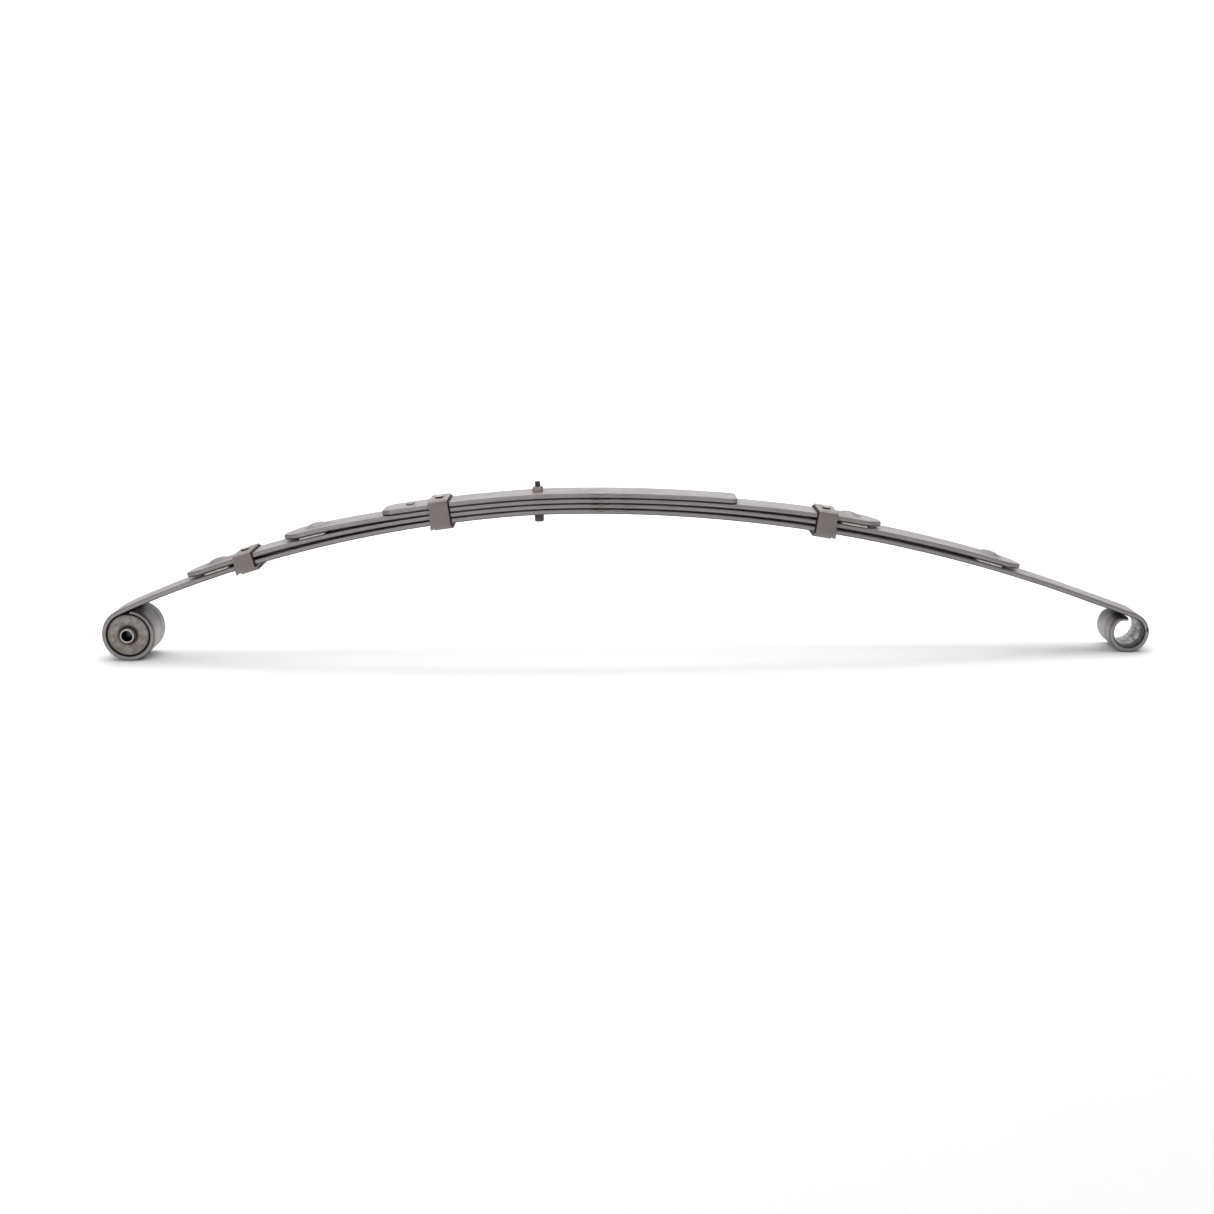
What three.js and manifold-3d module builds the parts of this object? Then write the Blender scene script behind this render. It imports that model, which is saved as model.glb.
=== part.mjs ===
// Four-leaf rear leaf spring for a car, standing on its two eyes with the arch upwards.
// Millimetres, +Z up. X runs from the front eye to the rear eye, Y runs across the leaves.
import * as THREE from "three";
import { mergeVertices } from "three/addons/utils/BufferGeometryUtils.js";
import Module from "manifold-3d";

const wasm = await Module();
wasm.setup();

// ---- driving sizes -------------------------------------------------------------------------
const WIDTH = 63.5;            // leaf width, two and a half inches
const THICK = 6.6;             // leaf thickness
const GAP = 0.3;               // clearance kept between neighbouring pieces
const PITCH = THICK + GAP;

// The underside of the main leaf is a chain of arcs that meet smoothly, measured from its seat.
const SEAT_X = -115.8;
const SEAT_Z = 193.0;
const SEAT_TILT = THREE.MathUtils.degToRad(2.413);
const FRONT_ARCS = [
  { length: 30, radius: 1040 },
  { length: 470, radius: 1665 },
  { length: 82, radius: 1083 },
];
const REAR_ARCS = [
  { length: 30, radius: 1040 },
  { length: 710, radius: 1922 },
  { length: 80, radius: 40000 },
];
const FRONT_END = -582;
const REAR_END = 820;
const MAIN_LEAF_JOINS = [-540, 20, 780];

const BUSH_OUTER = 57.15;      // two and a quarter inch bush
const FRONT_EYE_RADIUS = BUSH_OUTER / 2 + GAP;
const REAR_EYE_RADIUS = 20.2;
const EASE = 1.9;              // how far the rounding of a leaf's long edges reaches

// Where each scroll stops, short of a full turn, and how far its end is tucked in and thinned.
const SCROLL_GAP = 0.8;        // left between the end of the front scroll and the leaf above it
const TUCK_TURN = THREE.MathUtils.degToRad(45);
const FRONT_SHORT = Math.acos((FRONT_EYE_RADIUS - SCROLL_GAP) / (FRONT_EYE_RADIUS + THICK));
const FRONT_SCROLL = { stop: 2 * Math.PI - FRONT_SHORT, tuck: 0, thin: 0 };
const REAR_SCROLL = { stop: THREE.MathUtils.degToRad(334), tuck: 3.9, thin: 1.4 };

const PAD_THICK = 1.9;
const PAD_LENGTH = 36;
const PAD_WIDTH = 58;
const TIP_GAP = PAD_THICK + 2 * GAP + 0.4;

// The bolt stands a little behind the point that the curve of the leaves is drawn from.
const BOLT_OFFSET = 1.8;
const BOLT_RADIUS = 4;
const BOLT_HOLE = BOLT_RADIUS + GAP + 0.1;
const BOLT_HEAD_RADIUS = 6.3;
const BOLT_HEAD_HEIGHT = 12.8;
const NUT_ACROSS_FLATS = 12.7;
const NUT_HEIGHT = 6.8;
const STUD_ABOVE_NUT = 7.2;

const RIVET_SHANK = 4.6;
const RIVET_HOLE = RIVET_SHANK + GAP + 0.1;
const RIVET_HEAD = 6;
const STRAP = 2.2;             // clamp strap thickness
const STRAP_LENGTH = 26;
const LINER = 0.8;
const LINER_LIP = 2;           // how far a liner shows past its strap on the side of the bolt

const STEEL_TOP = { color: 0x9a9794, roughness: 0.5, metalness: 0.9 };
const STEEL_CLAMP = { color: 0x8e8b8b, roughness: 0.48, metalness: 0.9 };
const STEEL_SMALL = { color: 0x85807c, roughness: 0.42, metalness: 0.9 };
const PLASTIC_PAD = { color: 0xb9b7b0, roughness: 0.6, metalness: 0.0 };
const RUBBER_DARK = { color: 0x161616, roughness: 0.8, metalness: 0.0 };
const RUBBER_BUSH = { color: 0x6e675f, roughness: 0.75, metalness: 0.0 };

// ---- the curve of the main leaf ------------------------------------------------------------
// Walks the arcs from the seat to distance s; heading is the slope angle of the leaf there.
function spine(s) {
  const side = s < 0 ? -1 : 1;
  const arcs = side < 0 ? FRONT_ARCS : REAR_ARCS;
  let left = Math.abs(s);
  let x = SEAT_X;
  let z = SEAT_Z;
  let heading = SEAT_TILT;
  arcs.forEach((arc, i) => {
    const run = i === arcs.length - 1 ? left : Math.min(left, arc.length);
    const turn = (-side * run) / arc.radius;
    const chord = 2 * arc.radius * Math.sin(run / arc.radius / 2);
    x += side * chord * Math.cos(heading + turn / 2);
    z += side * chord * Math.sin(heading + turn / 2);
    heading += turn;
    left -= run;
  });
  return { x, z, heading };
}

// The point h above the underside of the main leaf at distance s.
function above(s, h) {
  const p = spine(s);
  return { x: p.x - h * Math.sin(p.heading), z: p.z + h * Math.cos(p.heading) };
}

// ---- geometry helpers ----------------------------------------------------------------------
function solidOf(geometry) {
  const g = geometry.clone();
  g.deleteAttribute("normal");
  g.deleteAttribute("uv");
  const merged = mergeVertices(g, 1e-4);
  return new wasm.Manifold(new wasm.Mesh({
    numProp: 3,
    vertProperties: new Float32Array(merged.attributes.position.array),
    triVerts: new Uint32Array(merged.index.array),
  }));
}

function geometryOf(solid) {
  const mesh = solid.getMesh();
  const g = new THREE.BufferGeometry();
  g.setAttribute("position", new THREE.BufferAttribute(new Float32Array(mesh.vertProperties), 3));
  g.setIndex(new THREE.BufferAttribute(new Uint32Array(mesh.triVerts), 1));
  const flat = g.toNonIndexed();
  flat.computeVertexNormals();
  return flat;
}

function mesh(name, geometry, look) {
  const m = new THREE.Mesh(geometry, new THREE.MeshStandardMaterial(look));
  m.name = name;
  return m;
}

// Turns and moves a geometry built around the origin, local x along the leaf and z away from it.
function place(geometry, s, h) {
  const p = above(s, h);
  geometry.rotateY(-spine(s).heading);
  geometry.translate(p.x, 0, p.z);
  return geometry;
}

// A cylinder whose axis is square to the leaves, from height h0 to h1.
function post(radius, s, h0, h1, sides) {
  const g = new THREE.CylinderGeometry(radius, radius, h1 - h0, sides);
  g.rotateX(Math.PI / 2);
  g.translate(0, 0, (h0 + h1) / 2);
  return place(g, s, 0);
}

// A ring or disc about the Y axis, turned from a half section of [radius, y] points.
function turned(section, x, z, sides) {
  const points = section.map(([r, y]) => new THREE.Vector2(r, y));
  const g = new THREE.LatheGeometry([...points, points[0].clone()], sides);
  g.translate(x, 0, z);
  return g;
}

// ---- leaves --------------------------------------------------------------------------------
// Each leaf lies a little higher above the main leaf towards its padded tips.
function lift(level, s) {
  const opening = TIP_GAP - GAP;
  const t = Math.min(1, Math.abs(s) / (s < 0 ? 415 : 585));
  const u = Math.min(1, Math.abs(s) / (s < 0 ? 280 : 400));
  const second = opening * t * t * (3 - 2 * t);
  const third = level > 1 ? opening * u * u * u : 0;
  return level * PITCH + second + third;
}

const LEAF_TIPS = {
  second: { level: 1, front: -480, rear: 654, taper: 27, nose: 15 },
  third: { level: 2, front: -339, rear: 458, taper: 25, nose: 16 },
};

// Bends a finely divided box into a bar with eased edges. The box is x along the bar, one unit
// to a station, y across and z through; each station gives its half width and how to find the
// point at height h through the bar.
function bentBar(stations) {
  const steps = stations.length - 1;
  const g = new THREE.BoxGeometry(steps, 2, 2, steps, 3, 3);
  const pos = g.attributes.position;
  for (let i = 0; i < pos.count; i += 1) {
    const { half, pointAt } = stations[Math.round(pos.getX(i) + steps / 2)];
    const y = pos.getY(i);
    const z = pos.getZ(i);
    const onSide = Math.abs(y) > 0.9;
    const onFace = Math.abs(z) > 0.9;
    const inset = onSide ? (onFace ? EASE * 0.3 : 0) : EASE;
    const depth = onFace ? (onSide ? EASE * 0.3 : 0) : EASE;
    const p = pointAt(z > 0 ? THICK - depth : depth);
    pos.setXYZ(i, p.x, Math.sign(y) * (half - inset), p.z);
  }
  return g;
}

// Evenly spaced stations with extra ones given, and one flat facet over the axle seat.
function stationsFor(front, rear, step, extra) {
  const list = [front, rear, -20, 20, ...extra];
  for (let s = -20 - step; s > front + step / 2; s -= step) list.push(s);
  for (let s = 20 + step; s < rear - step / 2; s += step) list.push(s);
  const sorted = list.sort((a, b) => a - b);
  return sorted.filter((s, i) => i === 0 || s - sorted[i - 1] > 1.5);
}

function barStations(list, level, halfWidth) {
  return list.map((s) => ({
    half: halfWidth(s),
    pointAt: (h) => above(s, (level === 0 ? 0 : lift(level, s)) + h),
  }));
}

function spearWidth(front, rear, taper, nose) {
  return (s) => {
    const inFromTip = Math.min(s - front, rear - s);
    if (inFromTip >= taper) return WIDTH / 2;
    const t = Math.max(0, inFromTip / taper);
    return nose / 2 + (WIDTH / 2 - nose / 2) * Math.sin((t * Math.PI) / 2) ** 0.9;
  };
}

// A raised oval over each tip pad.
function dimple(level, s) {
  const g = new THREE.SphereGeometry(1, 16, 8);
  g.scale(18, 12, 6);
  return solidOf(place(g, s, lift(level, s) + THICK - 0.4)).subtract(
    solidOf(place(new THREE.BoxGeometry(60, 60, 12), s, lift(level, s) + THICK - 6.5)),
  );
}

function boltHole() {
  return solidOf(post(BOLT_HOLE, BOLT_OFFSET, -20, 60, 20));
}

function shortLeaf(spec) {
  const { level, front, rear, taper, nose } = spec;
  const tips = [0.12, 0.3, 0.55, 1].flatMap((t) => [front + taper * t, rear - taper * t]);
  const stations = stationsFor(front, rear, 40, tips);
  let solid = solidOf(bentBar(barStations(stations, level, spearWidth(front, rear, taper, nose))));
  solid = solid.add(dimple(level, front + 45)).add(dimple(level, rear - 44));
  return geometryOf(solid.subtract(boltHole()));
}

// The fourth leaf is cut square with clipped corners at the front and rounded ones at the rear.
function fourthLeaf() {
  const front = -203;
  const rear = 264;
  const half = (s) => {
    if (s < front + 11.5) return WIDTH / 2 - 9 * (1 - (s - front) / 11.5);
    if (s > rear - 9.5) return WIDTH / 2 - 9.5 + Math.sqrt(9.5 ** 2 - (s - rear + 9.5) ** 2) * 0.98;
    return WIDTH / 2;
  };
  const extra = [front + 11.5, rear - 9.5, rear - 6, rear - 3, rear - 0.9];
  const stations = stationsFor(front, rear, 40, extra).filter((s) => s !== rear - 0.9);
  const bar = bentBar(barStations(stations, 3, half));
  return geometryOf(solidOf(bar).subtract(boltHole()));
}

// The centre of an eye lies below the end of the main leaf, square to it.
function eyeCentre(end, radius) {
  return above(end, -radius);
}

// The scroll of an eye. Angles run from the end of the leaf round the eye to the scroll's end.
// Over the last TUCK_TURN the end is tucked in under the leaf and drawn thinner.
function eyeStations(end, radius, side, facets, { stop, tuck, thin }) {
  const centre = eyeCentre(end, radius);
  const start = spine(end).heading;
  return Array.from({ length: facets }, (_, i) => {
    const turn = (stop * (i + 1)) / facets;
    const angle = start - side * turn;
    const t = Math.max(0, 1 - (stop - turn) / TUCK_TURN);
    const ease = t * t * (3 - 2 * t);
    const pointAt = (h) => {
      const r = radius - tuck * ease + h * (1 - (thin * ease) / THICK);
      return { x: centre.x - r * Math.sin(angle), z: centre.z + r * Math.cos(angle) };
    };
    return { half: WIDTH / 2, pointAt };
  });
}

// The main leaf is one strip of steel. It is drawn as two eyes and two lengths of bar that meet
// with the usual small gap.
function mainLeafPieces() {
  const bar = (from, to) => {
    const list = stationsFor(FRONT_END, REAR_END, 40, []).filter((s) => s > from + 1 && s < to - 1);
    return barStations([from + GAP / 2, ...list, to - GAP / 2], 0, () => WIDTH / 2);
  };
  const frontWrap = eyeStations(FRONT_END, FRONT_EYE_RADIUS, -1, 26, FRONT_SCROLL).reverse();
  const rearWrap = eyeStations(REAR_END, REAR_EYE_RADIUS, 1, 24, REAR_SCROLL);
  const [frontJoin, middleJoin, rearJoin] = MAIN_LEAF_JOINS;
  return {
    front_eye: geometryOf(solidOf(bentBar([...frontWrap, ...bar(FRONT_END - GAP / 2, frontJoin)]))),
    main_leaf_front: geometryOf(solidOf(bentBar(bar(frontJoin, middleJoin))).subtract(boltHole())),
    main_leaf_rear: geometryOf(solidOf(bentBar(bar(middleJoin, rearJoin)))),
    rear_eye: geometryOf(solidOf(bentBar([...bar(rearJoin, REAR_END + GAP / 2), ...rearWrap]))),
  };
}

// ---- tip pads ------------------------------------------------------------------------------
// A plain anti-squeak pad under the tip of a leaf, on the leaf below.
function tipPad(level, s) {
  const g = new THREE.BoxGeometry(PAD_LENGTH, PAD_WIDTH, PAD_THICK, 1, 3, 1);
  const pos = g.attributes.position;
  for (let i = 0; i < pos.count; i += 1) {
    if (Math.abs(pos.getY(i)) > PAD_WIDTH / 2 - 1) {
      pos.setX(i, pos.getX(i) * 0.8);
    }
  }
  const middle = (at) => ((level === 1 ? 0 : lift(level - 1, at)) + THICK + lift(level, at)) / 2;
  const reach = PAD_LENGTH / 2;
  g.rotateY(-Math.atan((middle(s + reach) - middle(s - reach)) / PAD_LENGTH));
  return place(g, s, middle(s));
}

function button() {
  const s = -167;
  const base = lift(3, s) + THICK + GAP;
  const g = new THREE.LatheGeometry([
    new THREE.Vector2(0, 0),
    new THREE.Vector2(5.8, 0),
    new THREE.Vector2(5.8, 1),
    new THREE.Vector2(4.6, 2),
    new THREE.Vector2(2.4, 2.5),
    new THREE.Vector2(0, 2.6),
  ], 20);
  g.rotateX(Math.PI / 2);
  return place(g, s, base);
}

// ---- centre bolt and nut -------------------------------------------------------------------
const NUT_BASE = lift(3, 0) + THICK + GAP;

function centreBolt() {
  const top = NUT_BASE + NUT_HEIGHT + STUD_ABOVE_NUT;
  const g = new THREE.LatheGeometry([
    new THREE.Vector2(0, -GAP - BOLT_HEAD_HEIGHT),
    new THREE.Vector2(BOLT_HEAD_RADIUS - 1.2, -GAP - BOLT_HEAD_HEIGHT),
    new THREE.Vector2(BOLT_HEAD_RADIUS, -GAP - BOLT_HEAD_HEIGHT + 1.2),
    new THREE.Vector2(BOLT_HEAD_RADIUS, -GAP),
    new THREE.Vector2(BOLT_RADIUS, -GAP),
    new THREE.Vector2(BOLT_RADIUS, top - 1),
    new THREE.Vector2(BOLT_RADIUS - 1, top),
    new THREE.Vector2(0, top),
  ], 20);
  g.rotateX(Math.PI / 2);
  return place(g, BOLT_OFFSET, 0);
}

function centreNut() {
  const corner = NUT_ACROSS_FLATS / 2 / Math.cos(Math.PI / 6);
  const shape = new THREE.Shape();
  for (let i = 0; i < 6; i += 1) {
    const a = (i * Math.PI) / 3;
    const x = corner * Math.cos(a);
    const y = corner * Math.sin(a);
    if (i === 0) shape.moveTo(x, y);
    else shape.lineTo(x, y);
  }
  shape.closePath();
  const hole = new THREE.Path();
  hole.absarc(0, 0, BOLT_RADIUS + GAP + 0.1, 0, 2 * Math.PI, true);
  shape.holes.push(hole);
  const g = new THREE.ExtrudeGeometry(shape, { depth: NUT_HEIGHT, bevelEnabled: false, curveSegments: 8 });
  return place(g, BOLT_OFFSET, NUT_BASE);
}

// ---- clamps --------------------------------------------------------------------------------
const CLAMPS = {
  front_outer: { s: -396, level: 1 },
  front_inner: { s: -128, level: 3 },
  rear: { s: 384, level: 2 },
};

// Rounds the corners of an open run of points.
function rounded(points, radius, steps) {
  const out = [points[0]];
  for (let i = 1; i < points.length - 1; i += 1) {
    const [a, b, c] = [points[i - 1], points[i], points[i + 1]];
    const before = a.clone().sub(b).normalize();
    const after = c.clone().sub(b).normalize();
    const half = before.angleTo(after) / 2;
    const reach = radius / Math.tan(half);
    const middle = before.clone().add(after).normalize();
    const centre = b.clone().addScaledVector(middle, radius / Math.sin(half));
    const from = b.clone().addScaledVector(before, reach).sub(centre);
    const to = b.clone().addScaledVector(after, reach).sub(centre);
    let sweep = to.angle() - from.angle();
    if (sweep > Math.PI) sweep -= 2 * Math.PI;
    if (sweep < -Math.PI) sweep += 2 * Math.PI;
    for (let k = 0; k <= steps; k += 1) {
      const p = from.clone().rotateAround(new THREE.Vector2(), (sweep * k) / steps);
      out.push(p.add(centre));
    }
  }
  out.push(points[points.length - 1]);
  return out;
}

// Thickens an open run of points into a closed outline.
function ribbon(points, thickness) {
  const side = (sign) => points.map((p, i) => {
    const a = points[Math.max(0, i - 1)];
    const b = points[Math.min(points.length - 1, i + 1)];
    const d1 = p.clone().sub(a).normalize();
    const d2 = b.clone().sub(p).normalize();
    const d = d1.add(d2).normalize();
    const bend = i === 0 || i === points.length - 1 ? 1 : Math.cos(b.clone().sub(p).angleTo(p.clone().sub(a)) / 2);
    const n = new THREE.Vector2(-d.y, d.x);
    return p.clone().addScaledVector(n, (sign * thickness) / 2 / bend);
  });
  return new THREE.Shape([...side(1), ...side(-1).reverse()]);
}

// Extrudes an outline drawn as (y, h) along the leaf, from s - back to s + ahead.
function alongLeaf(outline, s, back, ahead) {
  const g = new THREE.ExtrudeGeometry(outline, { depth: back + ahead, bevelEnabled: false });
  g.rotateX(Math.PI / 2);
  g.rotateZ(Math.PI / 2);
  g.translate(-back, 0, 0);
  return place(g, s, 0);
}

function clampTop({ s, level }) {
  const slack = 0.25;
  return Math.max(lift(level, s - 14), lift(level, s + 14)) + THICK + slack + GAP + LINER + GAP;
}

// One strap: the far end is folded under the near end, below the main leaf.
function clamp(spec) {
  const roof = clampTop(spec) + STRAP / 2;
  const wall = WIDTH / 2 + GAP + LINER + GAP + STRAP / 2;
  const nearFloor = -3.7;
  const farFloor = -7.2;
  const path = rounded([
    new THREE.Vector2(8, nearFloor),
    new THREE.Vector2(-wall, nearFloor),
    new THREE.Vector2(-wall, roof),
    new THREE.Vector2(wall, roof),
    new THREE.Vector2(wall, farFloor),
    new THREE.Vector2(-20, farFloor),
  ], 2.2, 3);
  const strap = alongLeaf(ribbon(path, STRAP), spec.s, STRAP_LENGTH / 2, STRAP_LENGTH / 2);
  const hole = post(RIVET_HOLE, spec.s, roof - 4, roof + 4, 18);
  return geometryOf(solidOf(strap).subtract(solidOf(hole)));
}

function liner(spec) {
  const roof = clampTop(spec) - GAP - LINER / 2;
  const wall = WIDTH / 2 + GAP + LINER / 2;
  const path = rounded([
    new THREE.Vector2(-wall, -1.6),
    new THREE.Vector2(-wall, roof),
    new THREE.Vector2(wall, roof),
    new THREE.Vector2(wall, -1.6),
  ], 1.2, 2);
  const lip = STRAP_LENGTH / 2 + LINER_LIP;
  const plain = STRAP_LENGTH / 2;
  const back = spec.s > 0 ? lip : plain;
  const ahead = spec.s > 0 ? plain : lip;
  const channel = alongLeaf(ribbon(path, LINER), spec.s, back, ahead);
  const hole = post(RIVET_HOLE, spec.s, roof - 4, roof + 4, 18);
  return geometryOf(solidOf(channel).subtract(solidOf(hole)));
}

// The rivet's shank fills the holes in the strap and the liner; its button head covers them.
function rivet(spec) {
  const foot = lift(spec.level, spec.s) + THICK + GAP;
  const neck = clampTop(spec) + STRAP + GAP;
  const g = new THREE.LatheGeometry([
    new THREE.Vector2(0, foot),
    new THREE.Vector2(RIVET_SHANK, foot),
    new THREE.Vector2(RIVET_SHANK, neck),
    new THREE.Vector2(RIVET_HEAD, neck),
    new THREE.Vector2(RIVET_HEAD, neck + 1.3),
    new THREE.Vector2(RIVET_HEAD - 1.1, neck + 2.1),
    new THREE.Vector2(0, neck + 2.4),
  ], 18);
  g.rotateX(Math.PI / 2);
  return place(g, spec.s, 0);
}

// ---- front bush ----------------------------------------------------------------------------
const SHELL_WALL = 1.6;
const SLEEVE_OUTER = 9.5;
const SLEEVE_BORE = 7.15;
const SLEEVE_LENGTH = 76;

function bushShell() {
  const c = eyeCentre(FRONT_END, FRONT_EYE_RADIUS);
  const outer = BUSH_OUTER / 2;
  const half = WIDTH / 2 - 0.6;
  return turned([
    [outer - SHELL_WALL, -half],
    [outer, -half],
    [outer, half],
    [outer - SHELL_WALL, half],
  ], c.x, c.z, 28);
}

function bushRubber() {
  const c = eyeCentre(FRONT_END, FRONT_EYE_RADIUS);
  const outer = BUSH_OUTER / 2 - SHELL_WALL - GAP;
  const inner = SLEEVE_OUTER + GAP;
  const half = WIDTH / 2;
  return turned([
    [inner, -half + 3.2],
    [inner + 3, -half + 2.4],
    [inner + 7, -half - 0.4],
    [outer - 1.5, -half + 0.2],
    [outer, -half + 1.6],
    [outer, half - 1.6],
    [outer - 1.5, half - 0.2],
    [inner + 7, half + 0.4],
    [inner + 3, half - 2.4],
    [inner, half - 3.2],
  ], c.x, c.z, 28);
}

function bushSleeve() {
  const c = eyeCentre(FRONT_END, FRONT_EYE_RADIUS);
  const half = SLEEVE_LENGTH / 2;
  return turned([
    [SLEEVE_BORE, -half],
    [SLEEVE_OUTER, -half],
    [SLEEVE_OUTER, half],
    [SLEEVE_BORE, half],
  ], c.x, c.z, 24);
}

// ---- assembly ------------------------------------------------------------------------------
const spring = new THREE.Group();
spring.name = "leaf_spring";
spring.add(
  ...Object.entries(mainLeafPieces()).map(([name, piece]) => mesh(name, piece, STEEL_TOP)),
  mesh("second_leaf", shortLeaf(LEAF_TIPS.second), STEEL_TOP),
  mesh("third_leaf", shortLeaf(LEAF_TIPS.third), STEEL_TOP),
  mesh("fourth_leaf", fourthLeaf(), STEEL_TOP),
  mesh("second_leaf_front_pad", tipPad(1, -435), PLASTIC_PAD),
  mesh("second_leaf_rear_pad", tipPad(1, 608), PLASTIC_PAD),
  mesh("third_leaf_front_pad", tipPad(2, -299), PLASTIC_PAD),
  mesh("third_leaf_rear_pad", tipPad(2, 421), PLASTIC_PAD),
  mesh("fourth_leaf_button", button(), PLASTIC_PAD),
  mesh("centre_bolt", centreBolt(), STEEL_SMALL),
  mesh("centre_nut", centreNut(), STEEL_SMALL),
);
Object.entries(CLAMPS).forEach(([name, spec]) => {
  spring.add(
    mesh(`${name}_clamp`, clamp(spec), STEEL_CLAMP),
    mesh(`${name}_clamp_liner`, liner(spec), RUBBER_DARK),
    mesh(`${name}_clamp_rivet`, rivet(spec), STEEL_SMALL),
  );
});
spring.add(
  mesh("bush_shell", bushShell(), STEEL_SMALL),
  mesh("bush_rubber", bushRubber(), RUBBER_BUSH),
  mesh("bush_sleeve", bushSleeve(), STEEL_SMALL),
);

// The origin is the middle of the base of the whole spring.
const box = new THREE.Box3().setFromObject(spring);
const middle = box.getCenter(new THREE.Vector3());
spring.children.forEach((part) => part.geometry.translate(-middle.x, -middle.y, -box.min.z));

export default spring;
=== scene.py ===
"""A four-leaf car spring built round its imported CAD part.

Sizes are in millimetres until a mesh is made.
"""

import math

import bmesh
import bpy
from mathutils import Matrix, Vector


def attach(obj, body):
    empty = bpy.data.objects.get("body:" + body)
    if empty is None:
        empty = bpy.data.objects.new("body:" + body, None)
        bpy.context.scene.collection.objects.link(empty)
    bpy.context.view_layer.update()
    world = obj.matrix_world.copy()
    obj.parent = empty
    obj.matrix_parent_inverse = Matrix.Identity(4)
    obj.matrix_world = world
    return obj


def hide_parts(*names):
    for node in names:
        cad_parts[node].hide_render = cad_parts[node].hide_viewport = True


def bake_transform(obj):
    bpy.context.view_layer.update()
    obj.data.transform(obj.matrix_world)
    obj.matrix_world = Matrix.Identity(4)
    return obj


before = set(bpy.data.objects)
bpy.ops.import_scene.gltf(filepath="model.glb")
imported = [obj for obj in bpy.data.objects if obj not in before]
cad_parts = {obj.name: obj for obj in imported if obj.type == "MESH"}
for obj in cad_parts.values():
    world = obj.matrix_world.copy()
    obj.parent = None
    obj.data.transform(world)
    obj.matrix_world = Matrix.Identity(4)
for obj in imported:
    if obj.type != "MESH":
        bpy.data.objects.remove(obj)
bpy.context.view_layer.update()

MM = 0.001

# ---- driving sizes, the same as the CAD part's ------------------------------------------------
WIDTH = 63.5
THICK = 6.6
GAP = 0.3
PITCH = THICK + GAP
SEAT_X = -116.597
SEAT_Z = 193.124
BOLT_OFFSET = 1.8
SEAT_TILT = math.radians(2.413)
FRONT_ARCS = [(30, 1040), (470, 1665), (82, 1083)]
REAR_ARCS = [(30, 1040), (710, 1922), (80, 40000)]
FRONT_END = -582
REAR_END = 820
BUSH_OUTER = 57.15
FRONT_EYE_RADIUS = BUSH_OUTER / 2 + GAP
REAR_EYE_RADIUS = 20.2
TUCK_TURN = math.radians(45)
# how far back from the eye scroll's end the painted shadow in the wedge under the leaf reaches
PAINTED_SHADOW_TURN = math.radians(72)
FRONT_SCROLL = {"short": math.radians(39.5), "slant": math.radians(12.5), "tuck": 0, "thin": 0}
REAR_SCROLL = {"short": math.radians(28), "slant": math.radians(3), "tuck": 3.9, "thin": 1.4}
EDGE_ROUND = 2.3
PAD_THICK = 1.9
TIP_GAP = PAD_THICK + 2 * GAP + 0.4
STRAP = 2.2
STRAP_LENGTH = 26
LINER = 0.8
RIVET_SHANK = 4.6
RIVET_HOLE = RIVET_SHANK + GAP + 0.1
RIVET_HEAD = 6
LINER_LIP = 2
BUTTON_S = -167
SHELL_RECESS = 2.6
SLEEVE_LENGTH = 76
CLAMPS = {
    "front_outer_clamp": (-396, 1),
    "front_inner_clamp": (-128, 3),
    "rear_clamp": (384, 2),
}

ROOT = "main_leaf_and_eyes"
PACK = "leaf_pack"
SLEEVE = "sleeve"


# ---- the curve of the main leaf ---------------------------------------------------------------
def spine(s):
    """Position and slope of the underside of the main leaf at distance s from the seat."""
    side = -1 if s < 0 else 1
    arcs = FRONT_ARCS if side < 0 else REAR_ARCS
    left = abs(s)
    x, z, heading = SEAT_X, SEAT_Z, SEAT_TILT
    for i, (length, radius) in enumerate(arcs):
        run = left if i == len(arcs) - 1 else min(left, length)
        turn = -side * run / radius
        chord = 2 * radius * math.sin(run / radius / 2)
        x += side * chord * math.cos(heading + turn / 2)
        z += side * chord * math.sin(heading + turn / 2)
        heading += turn
        left -= run
    return x, z, heading


def above(s, h, y=0.0):
    x, z, heading = spine(s)
    return Vector((x - h * math.sin(heading), y, z + h * math.cos(heading)))


def lift(level, s):
    """Height of a leaf's underside above the underside of the main leaf."""
    if level == 0:
        return 0.0
    opening = TIP_GAP - GAP
    t = min(1.0, abs(s) / (415 if s < 0 else 585))
    u = min(1.0, abs(s) / (280 if s < 0 else 400))
    second = opening * t * t * (3 - 2 * t)
    third = opening * u**3 if level > 1 else 0.0
    return level * PITCH + second + third


# ---- mesh helpers -----------------------------------------------------------------------------
def make_object(name, verts, faces, grain, painted_shade):
    """A smooth mesh from points in millimetres, with two values at each point for the materials:
    grain is its place along, across and up, and the other value is how much painted shade darkens it."""
    mesh = bpy.data.meshes.new(name)
    mesh.from_pydata([Vector(v) * MM for v in verts], [], faces)
    attribute = mesh.attributes.new("grain", "FLOAT_VECTOR", "POINT")
    attribute.data.foreach_set("vector", [c for g in grain for c in g])
    attribute = mesh.attributes.new("painted_shade", "FLOAT", "POINT")
    attribute.data.foreach_set("value", painted_shade)
    bm = bmesh.new()
    bm.from_mesh(mesh)
    bmesh.ops.recalc_face_normals(bm, faces=bm.faces)
    bm.to_mesh(mesh)
    bm.free()
    mesh.shade_smooth()
    obj = bpy.data.objects.new(name, mesh)
    bpy.context.collection.objects.link(obj)
    return obj


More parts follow.
